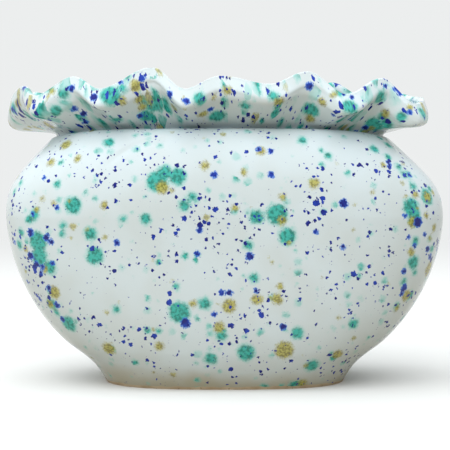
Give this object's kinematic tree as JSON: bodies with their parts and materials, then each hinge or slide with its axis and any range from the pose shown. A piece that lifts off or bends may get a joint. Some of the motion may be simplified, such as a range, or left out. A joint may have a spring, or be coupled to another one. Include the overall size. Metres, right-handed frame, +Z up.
{
  "type": "ruffled pillow planter",
  "caption": "Wide flattened ceramic planter with an oval mouth under a fluted, flaring collar, a speckled gloss glaze and a low foot ring.",
  "frame": {"origin": "floor level under the pot, in the middle of the rectangle that it covers", "axes": "+Z up, +X along the long side to the right as seen from the front, -Y out of the front face"},
  "size_m": [0.2774, 0.1334, 0.1955],
  "materials": {
    "speckled_glaze": "gloss white with cobalt, turquoise and olive specks",
    "plain_glaze": "gloss off-white",
    "bare_clay": "matt, unglazed"
  },
  "bodies": {
    "root": {"foot_ring": "bare_clay", "floor_slab": "plain_glaze", "body_shell": "speckled_glaze", "ruffled_collar": "speckled_glaze"}
  },
  "joints": []
}
